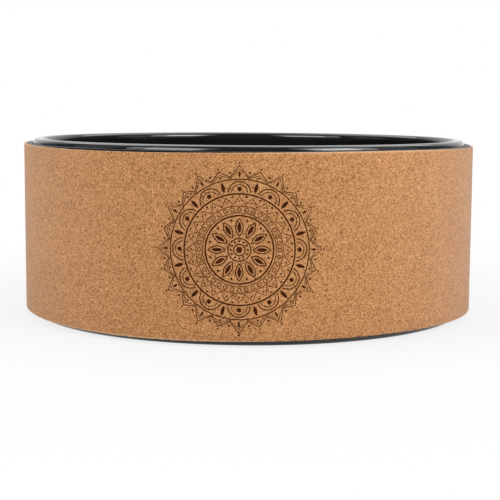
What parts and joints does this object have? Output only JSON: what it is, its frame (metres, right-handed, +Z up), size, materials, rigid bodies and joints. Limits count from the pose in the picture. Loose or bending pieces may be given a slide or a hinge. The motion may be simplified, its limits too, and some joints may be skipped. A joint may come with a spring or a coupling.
{
  "type": "yoga wheel",
  "caption": "Rigid black plastic hoop wrapped in foam and a printed cork sheet, for back-bending, stretching and balance exercises.",
  "frame": {"origin": "centre of the lower rim, on the plane that the wheel lies on", "axes": "+Z up along the wheel's own axis, -Y through the printed front, cork seam at +Y"},
  "size_m": [0.33, 0.33, 0.127],
  "materials": {
    "hoop_plastic": "polished black plastic",
    "adhesive": "pale amber bonding film",
    "foam": "matte black closed-cell foam",
    "cork": "fine-grained agglomerated cork, matte",
    "print_ink": "dark brown ink on cork"
  },
  "bodies": {
    "root": {"hoop": "hoop_plastic", "hoop_adhesive": "adhesive", "foam_underlay": "foam", "cork_adhesive": "adhesive", "cork_cover": "cork"}
  },
  "joints": []
}
